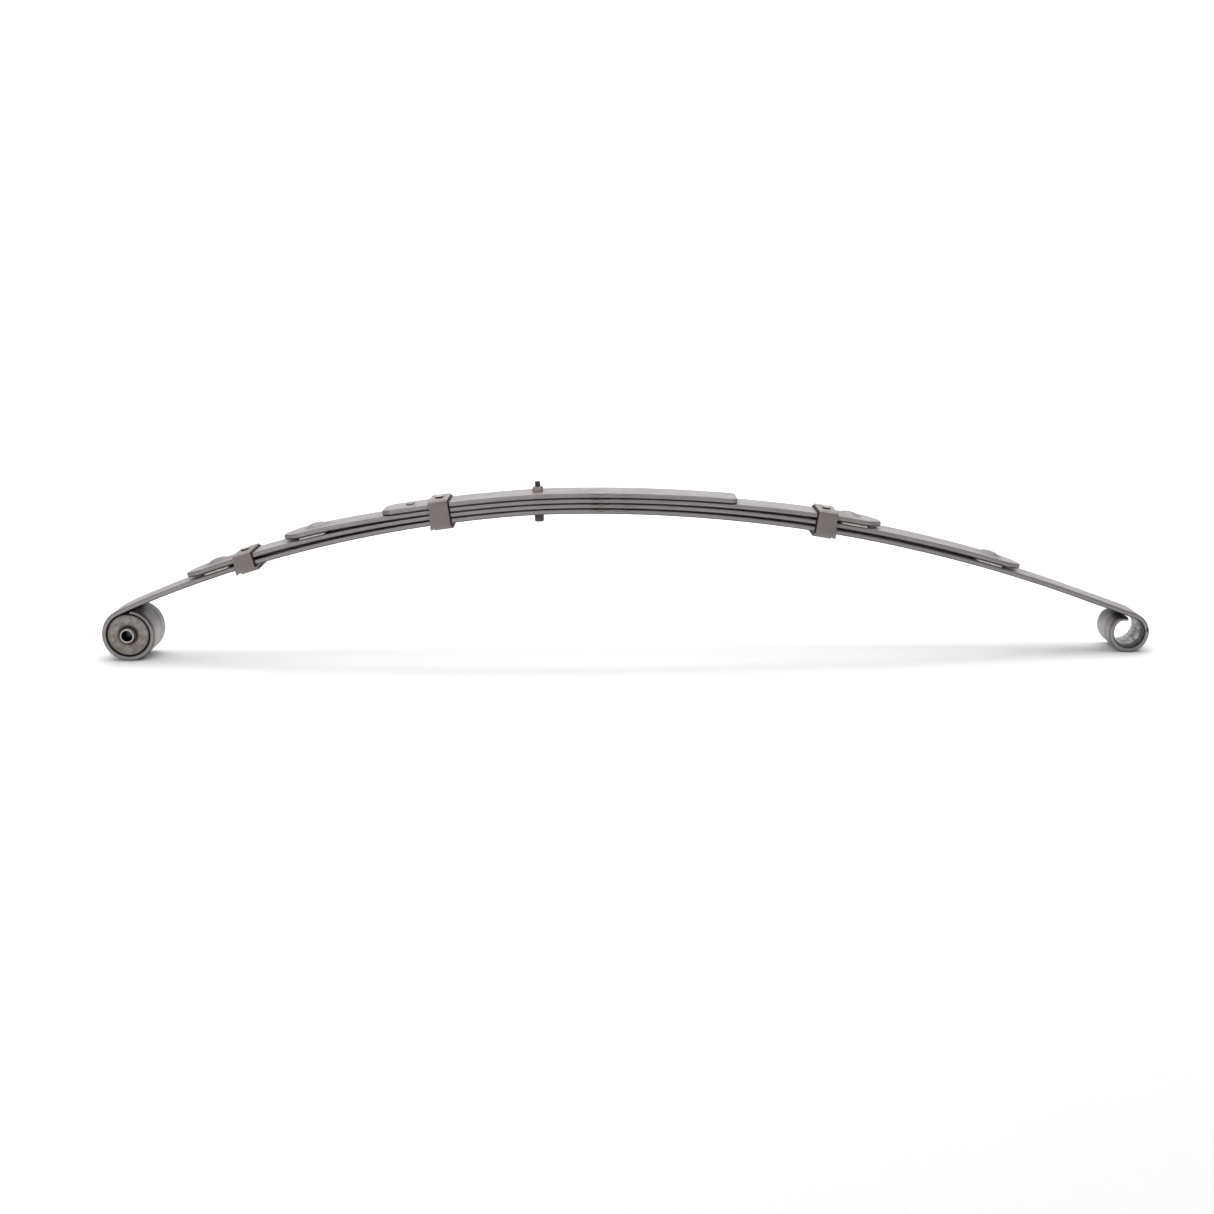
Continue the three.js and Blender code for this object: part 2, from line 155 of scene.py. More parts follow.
def loft(name, rings, closed_start=True, closed_end=True):
    """Joins rings of (point, grain) or (point, grain, painted shade), all of one length, into a tube.
    """
    count = len(rings[0])
    entries = [entry for ring in rings for entry in ring]
    verts = [entry[0] for entry in entries]
    grain = [entry[1] for entry in entries]
    painted_shade = [entry[2] if len(entry) > 2 else 0.0 for entry in entries]
    faces = []
    for i in range(len(rings) - 1):
        a, b = i * count, (i + 1) * count
        for k in range(count):
            n = (k + 1) % count
            faces.append((a + k, a + n, b + n, b + k))
    if closed_start:
        faces.append(tuple(range(count)))
    if closed_end:
        last = (len(rings) - 1) * count
        faces.append(tuple(last + k for k in range(count)))
    return make_object(name, verts, faces, grain, painted_shade)


def lathe(name, section, place, steps=96):
    """Turns a closed section of (radius, height) or (radius, height, painted shade) points about Z.
    place maps (x, y, height) to the frame."""
    rings = []
    for i in range(steps):
        a = 2 * math.pi * i / steps
        ring = []
        for r, h, *painted_shade in section:
            local = (r * math.cos(a), r * math.sin(a), h)
            ring.append((place(*local), local, *painted_shade))
        rings.append(ring)
    rings.append(rings[0])
    obj = loft(name, rings, False, False)
    weld(obj)
    return obj


def weld(obj, distance=1e-6):
    bm = bmesh.new()
    bm.from_mesh(obj.data)
    bmesh.ops.remove_doubles(bm, verts=bm.verts, dist=distance)
    bmesh.ops.recalc_face_normals(bm, faces=bm.faces)
    bm.to_mesh(obj.data)
    bm.free()


def sharpen(obj, degrees=35):
    """Keeps smooth shading but breaks it across edges sharper than this."""
    obj.data.set_sharp_from_angle(angle=math.radians(degrees))


def square_to_leaf(s):
    """Maps local (x along, y across, z up) at the leaf's underside at s into the frame."""
    x, z, heading = spine(s)
    cos, sin = math.cos(heading), math.sin(heading)
    return lambda px, py, pz: Vector((x + px * cos - pz * sin, py, z + px * sin + pz * cos))


def cut(obj, cutter):
    """Takes cutter away from obj and deletes it."""
    modifier = obj.modifiers.new("cut", "BOOLEAN")
    modifier.operation = "DIFFERENCE"
    modifier.solver = "EXACT"
    modifier.object = cutter
    bpy.context.view_layer.update()
    graph = bpy.context.evaluated_depsgraph_get()
    mesh = bpy.data.meshes.new_from_object(obj.evaluated_get(graph))
    obj.modifiers.clear()
    obj.data = mesh
    bpy.data.objects.remove(cutter)


def flex(obj):
    """Bakes a piece's placement into its mesh."""
    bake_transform(obj)


def finish_piece(obj, material, slot, *nodes):
    obj.data.materials.clear()
    obj.data.materials.append(material)
    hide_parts(*nodes)


# ---- leaves -----------------------------------------------------------------------------------
ACROSS = 25
UNDERNEATH = 5
BUMP_HEIGHT = 5.6


def leaf_ring(half, low, high):
    """The (y, h, painted shade) outline of a leaf's cross section, with rounded long edges; painted
    shade darkens the edges, most at the lower one, and the underside.
    """
    r = min(EDGE_ROUND, half * 0.7, (high - low) * 0.48)
    flat = half - r
    top = [(flat * (2 * k / (ACROSS - 1) - 1), high, 0.0) for k in range(ACROSS)]
    # painted shade under the leaf
    under = [(flat * (1 - 2 * k / (UNDERNEATH - 1)), low, 0.4) for k in range(UNDERNEATH)]
    # painted shade on the rounded edges: a dark line at the top edge, and darker lower edges beside
    # the gaps between leaves
    upper = ((68, 0.8), (45, 0.4), (22, 0.05), (0, 0.0))
    lower = ((0, 0.05), (22, 0.4), (45, 0.95), (68, 1.0))
    side = []
    for a, painted_shade in upper:
        a = math.radians(a)
        side.append((flat + r * math.cos(a), high - r + r * math.sin(a), painted_shade))
    for a, painted_shade in lower:
        a = math.radians(a)
        side.append((flat + r * math.cos(a), low + r - r * math.sin(a), painted_shade))
    other = [(-y, h, painted_shade) for y, h, painted_shade in reversed(side)]
    return top + side + under + other


def leaf_rings(stations, bumps=()):
    """One ring to a station. A station is (s, half width, inset of the faces, point finder), with
    the painted shadow on its upper face last if there is any."""
    rings = []
    for s, half, inset, point_at, *painted_shadow in stations:
        ring = []
        for y, h, painted_shade in leaf_ring(half, inset, THICK - inset):
            rise = sum(bump(s, y) for bump in bumps) if h > THICK - inset - 1e-6 else 0.0
            # painted shade on the flanks of the pressed dimples
            if rise > 0:
                painted_shade = 0.4 * min(1.0, rise) * (1 - rise / BUMP_HEIGHT) ** 0.5
            # a station's painted shadow darkens the upper half of its ring
            if painted_shadow and h > THICK / 2:
                painted_shade = max(painted_shade, painted_shadow[0])
            x, z = point_at(h + rise)
            ring.append(((x, y, z), (s, y, h), painted_shade))
        rings.append(ring)
    return rings


def straight_point(level, s):
    def find(h):
        p = above(s, lift(level, s) + h)
        return p.x, p.z

    return find


def distances(start, end, step, fine=()):
    """Evenly spaced distances from start to end, closer together inside each (from, to) of fine."""
    values = {round(start, 3), round(end, 3)}
    count = max(1, round(abs(end - start) / step))
    values.update(round(start + (end - start) * k / count, 3) for k in range(count + 1))
    low, high = min(start, end), max(start, end)
    for a, b in fine:
        steps = max(1, round((b - a) / 1.8))
        values.update(
            round(a + (b - a) * k / steps, 3) for k in range(steps + 1) if low <= a <= b <= high
        )
    ordered = sorted(values)
    kept = [ordered[0]]
    for v in ordered[1:]:
        if v - kept[-1] > 0.05:
            kept.append(v)
    return kept


def tip_steps(tip, side, ease, reach):
    """Distances near a tip, with the rounding of its end face; gives (s, inset) pairs."""
    steps = []
    for k in range(6):
        a = math.radians(18 * k)
        steps.append((tip - side * ease * (1 - math.cos(a)), ease * (1 - math.sin(a))))
    more = 14
    steps += [(tip - side * (ease + (reach - ease) * k / more), 0.0) for k in range(1, more + 1)]
    return steps


def spear(distance, taper, nose):
    """Half width of a leaf at a distance in from its spear-shaped tip."""
    if distance >= taper:
        return WIDTH / 2
    t = max(0.0, distance / taper)
    return nose / 2 + (WIDTH / 2 - nose / 2) * math.sin(t * math.pi / 2) ** 0.9


def clipped(distance):
    """Half width of the fourth leaf at a distance in from its clipped front end."""
    return WIDTH / 2 - 9 * max(0.0, 1 - distance / 11.5)


def softened(distance):
    """Half width of the fourth leaf at a distance in from its rounded rear end."""
    d = min(distance, 9.5)
    return WIDTH / 2 - 9.5 + math.sqrt(max(0.0, 9.5**2 - (9.5 - d) ** 2))


def oval_bump(centre, length, width, height):
    """A pressed dimple standing up from a leaf."""

    def rise(s, y):
        d2 = ((s - centre) / (length / 2)) ** 2 + (y / (width / 2)) ** 2
        return height * (1 - d2) ** 1.25 * (1 + 0.35 * d2) if d2 < 1 else 0.0

    return rise


def half_leaf(name, level, tip, side, outline, reach, bumps=(), fine=()):
    """One leaf from the bolt to a tip, on the front (side -1) or the rear (side 1)."""
    ease = 1.5
    tips = tip_steps(tip, side, ease, reach)
    inner = tip - side * reach
    stations = []
    for s in distances(*sorted((0.0, inner)), 8, fine):
        half = outline(abs(tip - s))
        stations.append((s, half, 0.0, straight_point(level, s)))
    ends = [(s, outline(abs(tip - s)) - inset, inset, straight_point(level, s)) for s, inset in tips]
    if side > 0:
        stations = stations[:-1] + ends[::-1]
    else:
        stations = ends + stations[1:]
    obj = loft(name, leaf_rings(stations, bumps), side < 0, side > 0)
    sharpen(obj, 40)
    return obj


def eye_stations(end, radius, side, scroll, count):
    """Stations round an eye. The scroll's end is cut on a slant, or tucked in under the leaf; its last
    turn carries painted shadow where it lies in the wedge under the leaf.
    """
    centre = above(end, -radius)
    start = spine(end)[2]
    stop = 2 * math.pi - scroll["short"]
    arc = (radius + THICK / 2) * stop
    stations = []
    for k in range(1, count + 1):
        share = k / count
        t = max(0.0, 1 - stop * (1 - share) / TUCK_TURN)
        ease = t * t * (3 - 2 * t)

        def find(h, share=share, ease=ease):
            slant = scroll["slant"] * (1 - h / THICK)
            angle = start - side * (stop + slant) * share
            r = radius - scroll["tuck"] * ease + h * (1 - scroll["thin"] * ease / THICK)
            return centre.x - r * math.sin(angle), centre.z + r * math.cos(angle)

        inset = 0.0 if k < count else 0.5
        # painted shadow on the scroll's outer face in the dark wedge between its end and the leaf
        shade = 0.95 * max(0.0, 1 - stop * (1 - share) / PAINTED_SHADOW_TURN) ** 0.5
        stations.append((end + side * arc * share, WIDTH / 2 - inset, inset, find, shade))
    return stations


def main_half(name, end, radius, side, scroll, count):
    bar = [(s, WIDTH / 2, 0.0, straight_point(0, s)) for s in distances(*sorted((0, end)), 8)]
    eye = eye_stations(end, radius, side, scroll, count)
    stations = bar + eye if side > 0 else eye[::-1] + bar
    obj = loft(name, leaf_rings(stations), side < 0, side > 0)
    sharpen(obj, 40)
    return obj


# ---- clamps -----------------------------------------------------------------------------------
def corner_path(points, radius, steps=7):
    """Rounds the inner corners of an open run of (y, h) points with arcs."""
    out = [Vector(points[0])]
    for i in range(1, len(points) - 1):
        a, b, c = (Vector(points[i + k]) for k in (-1, 0, 1))
        before, after = (a - b).normalized(), (c - b).normalized()
        half = before.angle(after) / 2
        centre = b + (before + after).normalized() * radius / math.sin(half)
        start = b + before * radius / math.tan(half) - centre
        end = b + after * radius / math.tan(half) - centre
        sweep = math.atan2(start.x * end.y - start.y * end.x, start.dot(end))
        for k in range(steps + 1):
            t = sweep * k / steps
            cos, sin = math.cos(t), math.sin(t)
            out.append(centre + Vector((start.x * cos - start.y * sin, start.x * sin + start.y * cos)))
    out.append(Vector(points[-1]))
    return out


def subdivided(path, longest):
    """Adds points along the straights of a path so that none is longer than this."""
    out = [path[0]]
    for a, b in zip(path, path[1:]):
        pieces = max(1, math.ceil((b - a).length / longest))
        out += [a.lerp(b, k / pieces) for k in range(1, pieces + 1)]
    return out


def strip(name, path, thickness, s, back, ahead, ease, adjust=None):
    """A flat strip bent along a (y, h) path, square to the leaf, with softened long edges."""
    normals = []
    for i in range(len(path)):
        a, b = path[max(0, i - 1)], path[min(len(path) - 1, i + 1)]
        d = (b - a).normalized()
        normals.append(Vector((-d.y, d.x)))
    place = square_to_leaf(s)
    rows = [(-back, ease), (-back + ease * 0.3, ease * 0.3), (-back + ease, 0)]
    inside = 9
    for k in range(1, inside):
        rows.append((-back + ease + (back + ahead - 2 * ease) * k / inside, 0))
    rows += [(ahead - ease, 0), (ahead - ease * 0.3, ease * 0.3), (ahead, ease)]
    rings = []
    for p, n in zip(path, normals):
        outline = [(x, thickness / 2 - e) for x, e in rows]
        outline += [(x, e - thickness / 2) for x, e in reversed(rows)]
        ring = []
        for x, t in outline:
            q = p + n * t
            spot = (x, q.x, q.y) if adjust is None else adjust(x, q.x, q.y, p)
            ring.append((place(*spot), spot))
        rings.append(ring)
    obj = loft(name, rings)
    sharpen(obj, 50)
    return obj


def clamp_top(s, level):
    slack = 0.25
    return max(lift(level, s - 14), lift(level, s + 14)) + THICK + slack + GAP + LINER + GAP


def clamp_strap(name, s, level):
    """A clamp: the far end is folded under the near end, and a small ear hangs at the near wall's
    lower bend, at its outward end.
    """
    roof = clamp_top(s, level) + STRAP / 2
    wall = WIDTH / 2 + GAP + LINER + GAP + STRAP / 2
    near_floor, far_floor = -4.0, -7.2
    outward = 1 if s > 0 else -1
    half = STRAP_LENGTH / 2
    path = corner_path(
        [
            (8, near_floor + 0.2),
            (-wall, near_floor),
            (-wall, roof),
            (wall, roof),
            (wall, far_floor),
            (-20, far_floor),
        ],
        2.3,
    )
    path = subdivided(path, 4)

    def adjust(x, y, h, p):
        """Splays the near wall outward, hangs the small ear, and shifts the far flap inward."""
        along = x / half * outward
        depth = (roof - h) / (roof - near_floor)
        if y < -wall + 4:
            x += outward * max(0.0, along) * (3.0 * depth - 1.4)
            if h < near_floor + 2:
                h -= 2.0 * max(0.0, along - 0.78) / 0.22
        if p.y < far_floor + 2 and y > -22:
            x -= outward * 2.0 * min(1.0, (far_floor + 2 - p.y) / 2)
        return x, y, h

    obj = strip(name, path, STRAP, s, half, half, 0.45, adjust)
    section = [(0.01, roof - 5), (RIVET_HOLE, roof - 5), (RIVET_HOLE, roof + 5), (0.01, roof + 5)]
    cut(obj, lathe("cutter", section, square_to_leaf(s), 48))
    sharpen(obj, 50)
    return obj


def clamp_liner(name, s, level):
    roof = clamp_top(s, level) - GAP - LINER / 2
    wall = WIDTH / 2 + GAP + LINER / 2
    path = corner_path([(-wall, -3.2), (-wall, roof), (wall, roof), (wall, -3.2)], 1.2)
    plain, lip = STRAP_LENGTH / 2 - 0.5, STRAP_LENGTH / 2 + LINER_LIP
    back, ahead = (lip, plain) if s > 0 else (plain, lip)
    return strip(name, subdivided(path, 6), LINER, s, back, ahead, 0.2)


def rivet(name, s, level):
    """A button-headed rivet; the head is undercut a little where it meets the strap, with painted
    shade on its side and undercut.
    """
    foot = lift(level, s) + THICK + GAP
    neck = clamp_top(s, level) + STRAP + 0.1
    # the third values are painted shade on the head's side and in the undercut
    section = [(0.01, foot), (RIVET_SHANK, foot), (RIVET_SHANK, neck, 1.0)]
    section += [(RIVET_HEAD - 0.9, neck, 1.0), (RIVET_HEAD - 0.2, neck + 0.4, 1.0)]
    section += [(RIVET_HEAD, neck + 0.9, 1.0), (RIVET_HEAD, neck + 1.3, 0.9)]
    section += [(RIVET_HEAD - 0.3, neck + 1.8, 0.4), (RIVET_HEAD - 1.2, neck + 2.2, 0.1)]
    section += [(RIVET_HEAD - 2.6, neck + 2.45), (0.01, neck + 2.5)]
    obj = lathe(name, section, square_to_leaf(s), 64)
    sharpen(obj, 60)
    return obj


# ---- pads, bolt, nut --------------------------------------------------------------------------
def tip_pad(name, level, s):
    """A moulded pad bent to the leaves it lies between."""
    half_long, half_wide, corner = 18, 31.2, 5
    rows = [half_long * math.sin(math.radians(a)) for a in range(-90, 91, 10)]
    middle = lambda at: ((0 if level == 1 else lift(level - 1, at)) + THICK + lift(level, at)) / 2
    rings = []
    for x in rows:
        spare = max(0.0, abs(x) - (half_long - corner))
        half = half_wide - corner + math.sqrt(max(0.0, corner**2 - spare**2))
        ring = []
        for y, t in leaf_outline_of_pad(half):
            p = above(s + x, middle(s + x) + t)
            ring.append(((p.x, y, p.z), (x, y, t)))
        rings.append(ring)
    obj = loft(name, rings)
    sharpen(obj, 50)
    return obj


def leaf_outline_of_pad(half):
    top, e = PAD_THICK / 2, 0.4
    right = [(half - e, top), (half - e * 0.3, top - e * 0.3), (half, top - e)]
    right += [(half, e - top), (half - e * 0.3, e * 0.3 - top), (half - e, -top)]
    return right + [(-y, t) for y, t in reversed(right)]


def end_button(name):
    """The low round button on top of the fourth leaf's front end."""
    base = lift(3, BUTTON_S) + THICK + GAP
    section = [(0.01, base), (5.8, base), (5.8, base + 0.9), (5.3, base + 1.7)]
    section += [(4.2, base + 2.3), (2.4, base + 2.7), (0.01, base + 2.8)]
    return lathe(name, section, square_to_leaf(BUTTON_S), 48)


NUT_BASE = lift(3, 0) + THICK + GAP
NUT_HEIGHT = 6.8
STUD_TOP = NUT_BASE + NUT_HEIGHT + 7.1
HEAD_FOOT = -13.0


def centre_bolt(name):
    """A bolt with a round head and a rolled thread on the stud."""
    pitch, root_depth, radius = 1.06, 0.55, 4.0
    place = square_to_leaf(BOLT_OFFSET)
    around = 64
    head = [(HEAD_FOOT, 0.01), (HEAD_FOOT, 4.6), (HEAD_FOOT + 0.3, 5.4), (HEAD_FOOT + 1.1, 6.1)]
    head += [(HEAD_FOOT + 1.9, 6.3), (-0.9, 6.3), (-0.4, 6.0), (-0.3, radius)]

    def ring_at(h, radius_at):
        ring = []
        for i in range(around):
            a = 2 * math.pi * i / around
            r = radius_at(a)
            local = (r * math.cos(a), r * math.sin(a), h)
            ring.append((place(*local), local))
        return ring

    def thread_at(h):
        def radius_at(a):
            phase = (h / pitch - a / (2 * math.pi)) % 1.0
            return radius - root_depth * abs(2 * phase - 1) ** 1.2

        return radius_at

    low, high = NUT_BASE - 1.5, STUD_TOP - 0.8
    count = int((high - low) / pitch * 8)
    rings = [ring_at(h, lambda a, r=r: r) for h, r in head]
    rings.append(ring_at(low - 0.5, lambda a: radius))
    for k in range(count + 1):
        h = low + (high - low) * k / count
        rings.append(ring_at(h, thread_at(h)))
    for h, r in ((STUD_TOP - 0.5, radius - 0.7), (STUD_TOP, radius - 1.2), (STUD_TOP, 0.01)):
        rings.append(ring_at(h, lambda a, r=r: r))
    obj = loft(name, rings)
    sharpen(obj, 50)
    return obj


def centre_nut(name):
    """A hexagon nut with its corners turned off a little above and below."""
    flat, inner = 12.7 / 2, 4.45
    place = square_to_leaf(BOLT_OFFSET)
    around = 96
    rings = []
    for i in range(around):
        a = 2 * math.pi * i / around
        corner = flat / math.cos(a % (math.pi / 3) - math.pi / 6)
        drop = max(0.0, corner - flat - 0.1) * 0.62
        outline = [(inner, 0.5), (inner + 0.5, 0), (flat - 0.2, 0), (corner, drop)]
        outline += [(corner, NUT_HEIGHT - drop), (flat - 0.2, NUT_HEIGHT)]
        outline += [(inner + 0.5, NUT_HEIGHT), (inner, NUT_HEIGHT - 0.5)]
        locals_ = [(r * math.cos(a), r * math.sin(a), NUT_BASE + h) for r, h in outline]
        rings.append([(place(*local), local) for local in locals_])
    rings.append(rings[0])
    obj = loft(name, rings, False, False)
    weld(obj)
    sharpen(obj, 25)
    return obj


# ---- front bush -------------------------------------------------------------------------------
BUSH = above(FRONT_END, -FRONT_EYE_RADIUS)


def about_bush(x, y, h):
    """Maps a lathe's axis onto the Y axis through the front eye."""
    return Vector((BUSH.x + x, h, BUSH.z + y))


def both_ends(near):
    """Adds the mirrored far half of a list of (radius, y) points on the near side."""
    return near + [(r, -y) for r, y in reversed(near)]


def bush_shell(name):
    outer = BUSH_OUTER / 2
    half = WIDTH / 2 - SHELL_RECESS
    near = [(outer - 1.5, -half + 0.5), (outer - 1.1, -half)]
    near += [(outer - 0.5, -half), (outer, -half + 0.5)]
    far = [(r, -y) for r, y in reversed(near)]
    obj = lathe(name, near + far, about_bush, 128)
    sharpen(obj, 50)
    return obj


def bush_rubber(name):
    half = WIDTH / 2
    near = [
        (9.8, -half + 4.2),
        (11.2, -half + 3.6),
        (12.6, -half + 2.2),
        (14.0, -half + 0.9),
        (15.6, -half + 0.1),
        (17.2, -half - 0.2),
        (19.0, -half + 0.0),
        (21.5, -half + 0.5),
        (23.6, -half + 0.8),
        (24.4, -half + 0.7),
        (25.2, -half + 0.3),
        (26.0, -half + 0.15),
        (26.8, -half + 0.35),
        (27.3, -half + 0.9),
        (27.35, -half + 1.6),
        (26.65, -half + 2.3),
    ]
    return lathe(name, both_ends(near), about_bush, 128)


def bush_sleeve(name):
    half = SLEEVE_LENGTH / 2
    section = [(7.15, -half + 0.7), (7.5, -half + 0.15), (8.1, -half)]
    section += [(8.8, -half), (9.3, -half + 0.3), (9.5, -half + 0.9)]
    obj = lathe(name, both_ends(section), about_bush, 96)
    sharpen(obj, 50)
    return obj


# ---- materials --------------------------------------------------------------------------------
# the colour of painted shade in gaps, under edges and in undercuts
PAINTED_SHADE = (0.009, 0.007, 0.006)


class Nodes:
    """Short calls for building a material's node tree."""

    def __init__(self, name):
        self.material = bpy.data.materials.new(name)
        self.material.use_nodes = True
        self.tree = self.material.node_tree
        self.tree.nodes.clear()
        self.output = self.add("ShaderNodeOutputMaterial")
        self.shader = self.add("ShaderNodeBsdfPrincipled")
        self.link(self.shader, "BSDF", self.output, "Surface")
        grain = self.add("ShaderNodeAttribute")
        grain.attribute_name = "grain"
        self.grain = (grain, "Vector")

    def add(self, kind, **values):
        node = self.tree.nodes.new(kind)
        for key, value in values.items():
            setattr(node, key, value)
        return node

    def link(self, a, out, b, socket):
        self.tree.links.new(a.outputs[out], b.inputs[socket])

    def scaled(self, x, y, z, turn=0.0):
        """Grain coordinates in millimetres, scaled and turned in the plane of the leaf."""
        node = self.add("ShaderNodeMapping")
        node.vector_type = "POINT"
        node.inputs["Scale"].default_value = (x, y, z)
        if turn:
            turned = self.add("ShaderNodeMapping")
            turned.inputs["Rotation"].default_value = (0, 0, turn)
            self.link(self.grain[0], self.grain[1], turned, "Vector")
            self.link(turned, "Vector", node, "Vector")
        else:
            self.link(self.grain[0], self.grain[1], node, "Vector")
        return node

    def radius(self):
        """Distance from the Z axis of the grain coordinates."""
        flat = self.add("ShaderNodeVectorMath", operation="MULTIPLY")
        flat.inputs[1].default_value = (1, 1, 0)
        self.link(self.grain[0], self.grain[1], flat, 0)
        length = self.add("ShaderNodeVectorMath", operation="LENGTH")
        self.link(flat, "Vector", length, 0)
        return length

    def noise(self, x, y, z, detail=3.0, rough=0.55, turn=0.0):
        node = self.add("ShaderNodeTexNoise")
        node.inputs["Scale"].default_value = 1.0
        node.inputs["Detail"].default_value = detail
        node.inputs["Roughness"].default_value = rough
        self.link(self.scaled(x, y, z, turn), "Vector", node, "Vector")
        return node

    def spread(self, source, low, high, to_low, to_high, out="Fac"):
        """Maps low..high of a value onto to_low..to_high, smoothly."""
        node = self.add("ShaderNodeMapRange", interpolation_type="SMOOTHSTEP")
        node.inputs["From Min"].default_value = low
        node.inputs["From Max"].default_value = high
        node.inputs["To Min"].default_value = to_low
        node.inputs["To Max"].default_value = to_high
        self.link(source, out, node, "Value")
        return node

    def mix(self, a, b, factor, factor_out="Result"):
        """Mixes two colours, each a tuple or a node with a Color output, by a value node."""
        node = self.add("ShaderNodeMix", data_type="RGBA")
        self.link(factor, factor_out, node, "Factor")
        for value, socket in ((a, 6), (b, 7)):
            if isinstance(value, tuple):
                node.inputs[socket].default_value = (*value, 1.0)
            else:
                self.tree.links.new(value.outputs[2], node.inputs[socket])
        return node

    def math(self, operation, *values):
        """A math node; each value is a number or a (node, output) pair."""
        node = self.add("ShaderNodeMath", operation=operation)
        for socket, value in enumerate(values):
            if isinstance(value, tuple):
                self.link(*value, node, socket)
            else:
                node.inputs[socket].default_value = value
        return node

    def use_color(self, mixed):
        self.tree.links.new(mixed.outputs[2], self.shader.inputs["Base Color"])

    def bump(self, height, strength, distance, out="Fac", below=None):
        node = self.add("ShaderNodeBump")
        node.inputs["Strength"].default_value = strength
        node.inputs["Distance"].default_value = distance
        self.link(height, out, node, "Height")
        if below is not None:
            self.link(below, "Normal", node, "Normal")
        return node


def brushed_steel(name, pale, dark, stain, metallic, rough, turn=0.5):
    """Bare rolled steel: fine slanting brush marks, cloudy scale, stains, and painted shade in
    grooves, gaps and undercuts.
    """
    n = Nodes(name)
    brush = n.noise(0.16, 2.6, 2.6, 3.0, 0.6, turn)
    fine = n.noise(0.5, 9.0, 9.0, 2.0, 0.6, turn)
    cloud = n.noise(0.022, 0.05, 0.05, 5.0, 0.62)
    spots = n.noise(0.11, 0.16, 0.16, 6.0, 0.7)
    base = n.mix(dark, pale, n.spread(brush, 0.32, 0.68, 0.0, 1.0))
    clouded = n.mix(base, dark, n.spread(cloud, 0.45, 0.78, 0.0, 0.55))
    stained = n.mix(clouded, stain, n.spread(spots, 0.62, 0.76, 0.0, 0.5))
    # painted shade, from the values stored at the mesh's points
    painted_shade = n.add("ShaderNodeAttribute")
    painted_shade.attribute_name = "painted_shade"
    shade_coat = n.spread(painted_shade, 0.0, 1.0, 0.0, 0.97)
    n.color = n.mix(stained, PAINTED_SHADE, shade_coat)
    n.use_color(n.color)
    n.shader.inputs["Metallic"].default_value = metallic
    n.link(n.spread(cloud, 0.3, 0.75, rough - 0.05, rough + 0.12), "Result", n.shader, "Roughness")
    low = n.bump(brush, 0.22, 0.00025)
    high = n.bump(fine, 0.16, 0.00012, below=low)
    n.link(high, "Normal", n.shader, "Normal")
    return n


def marked_leaf_steel():
    """The leaves' steel, with smudges beside the seat and dark scale in and on the rear eye."""
    pale, dark, stain = (0.345, 0.327, 0.325), (0.215, 0.194, 0.197), (0.1, 0.08, 0.078)
    n = brushed_steel("leaf_steel", pale, dark, stain, 0.6, 0.45)
    place = n.add("ShaderNodeSeparateXYZ")
    n.link(n.grain[0], n.grain[1], place, "Vector")
    across = n.math("ABSOLUTE", (place, "Y"))

    streaks = n.noise(0.05, 0.5, 0.75, 3.0, 0.6)
    side = n.spread(across, 30.0, 31.0, 0.0, 1.0, "Value")
    near_seat = n.math("ABSOLUTE", (n.math("SUBTRACT", (place, "X"), 97.0), "Value"))
    beside = n.spread(near_seat, 14.0, 34.0, 0.8, 0.0, "Value")
    smudge = n.math("MULTIPLY", (side, "Result"), (beside, "Result"))
    smudge = n.math("MULTIPLY", (smudge, "Value"), (n.spread(streaks, 0.5, 0.62, 0.0, 1.0), "Result"))
    smudged = n.mix(n.color, (0.06, 0.035, 0.03), smudge, "Value")

    patches = n.noise(0.07, 0.12, 0.0, 4.0, 0.6)
    flecks = n.noise(0.22, 0.06, 0.0, 5.0, 0.7)
    in_eye = n.spread(place, REAR_END, REAR_END + 5, 0.0, 1.0, "X")
    inside = n.spread(place, 0.1, 0.7, 1.0, 0.0, "Z")
    bore = n.math("MULTIPLY", (in_eye, "Result"), (inside, "Result"))
    near = n.math("MULTIPLY", (place, "Y"), -1.0)
    reach = n.math("MULTIPLY_ADD", (patches, "Fac"), 50.0, (near, "Value"))
    rim = n.spread(reach, 35.0, 38.0, 0.0, 1.0, "Value")
    streaky = n.mix((0.10, 0.10, 0.10), (0.42, 0.43, 0.43), n.spread(flecks, 0.36, 0.64, 0.0, 1.0))
    scale = n.mix(streaky, (0.018, 0.018, 0.016), rim)
    lined = n.mix(smudged, scale, bore, "Value")

    gap = n.add("ShaderNodeVectorMath", operation="DISTANCE")
    n.link(n.grain[0], n.grain[1], gap, 0)
    gap.inputs[1].default_value = (REAR_END + 25, -WIDTH / 2, 5.0)
    n.use_color(n.mix(lined, (0.02, 0.016, 0.014), n.spread(gap, 1.8, 3.6, 0.9, 0.0, "Value")))
    return n.material


def dusty_rubber(name, pale, dark, rough):
    """Moulded rubber with a dry bloom and a fine pitted skin."""
    n = Nodes(name)
    bloom = n.noise(0.12, 0.12, 0.12, 5.0, 0.65)
    pits = n.noise(1.6, 1.6, 1.6, 3.0, 0.6)
    n.use_color(n.mix(dark, pale, n.spread(bloom, 0.3, 0.7, 0.0, 1.0)))
    n.link(n.spread(bloom, 0.3, 0.7, rough + 0.08, rough - 0.08), "Result", n.shader, "Roughness")
    n.link(n.bump(pits, 0.35, 0.0004), "Normal", n.shader, "Normal")
    return n.material


